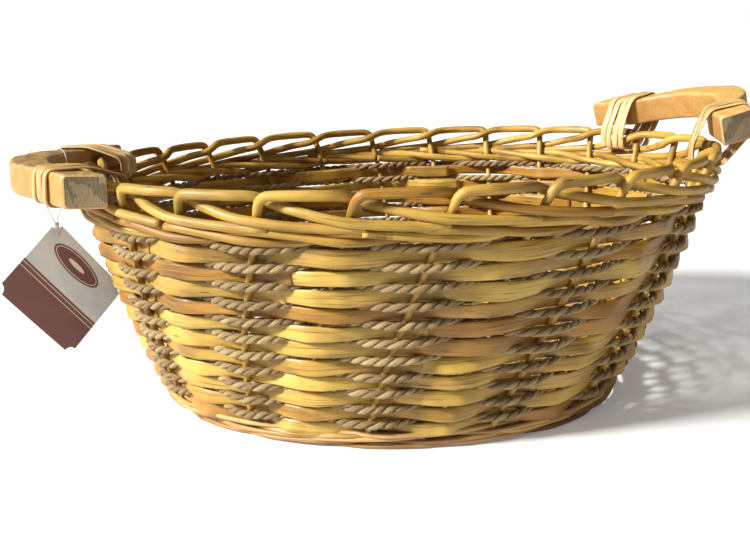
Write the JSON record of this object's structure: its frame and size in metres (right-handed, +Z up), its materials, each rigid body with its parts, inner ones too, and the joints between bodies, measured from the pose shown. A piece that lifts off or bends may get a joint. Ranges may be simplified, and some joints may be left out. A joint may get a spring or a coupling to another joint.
{
  "type": "wicker log basket",
  "caption": "Oval woven willow basket with split willow and twisted rope rows, bow shaped wooden end handles lashed on with cane, and a hanging card tag.",
  "frame": {"origin": "centre of the basket's footprint, on the floor", "axes": "+Z up, X along the oval between the two handles, +Y towards the back; the tag hangs at the -X handle"},
  "size_m": [0.6036, 0.4201, 0.2296],
  "materials": {
    "willow": "satin",
    "split_willow": "satin",
    "rope": "matte",
    "handle_wood": "satin",
    "cane": "gloss",
    "card": "matte",
    "thread": "gloss"
  },
  "bodies": {
    "basket": {"base_cross_sticks": "willow", "base_long_sticks": "willow", "base_mat_lower": "willow", "base_mat_upper": "willow", "foot_wale_1": "willow", "foot_wale_2": "willow", "foot_wale_3": "willow", "handle_left": "handle_wood", "handle_right": "handle_wood", "lashing_left_back": "cane", "lashing_left_front": "cane", "lashing_right_back": "cane", "lashing_right_front": "cane", "rope_row_01": "rope", "rope_row_02": "rope", "rope_row_03": "rope", "rope_row_04": "rope", "rope_row_05": "rope", "rope_row_06": "rope", "rope_row_07": "rope", "rope_row_08": "rope", "rope_row_09": "rope", "rope_row_10": "rope", "rope_row_11": "rope", "stakes": "willow", "tag_loop": "thread", "top_wale_1": "willow", "top_wale_2": "willow", "top_wale_3": "willow", "willow_strip_01": "split_willow", "willow_strip_02": "split_willow", "willow_strip_03": "split_willow", "willow_strip_04": "split_willow", "willow_strip_05": "split_willow", "willow_strip_06": "split_willow", "willow_strip_07": "split_willow", "willow_strip_08": "split_willow", "willow_strip_09": "split_willow", "willow_strip_10": "split_willow", "willow_strip_11": "split_willow"},
    "lock": {"loop_lock": "thread"},
    "tag": {"swing_tag": "card"}
  },
  "joints": [
    {"name": "tag_twist", "type": "hinge", "parent": "basket", "child": "lock", "pos_m": [-0.27073, 0.038, 0.13517], "axis": [0, 0, 1], "range_deg": [-4, 60]},
    {"name": "tag_swing", "type": "hinge", "parent": "lock", "child": "tag", "pos_m": [-0.27073, 0.038, 0.13517], "axis": [0.5736, -0.8192, 0], "range_deg": [-45, 6]}
  ]
}
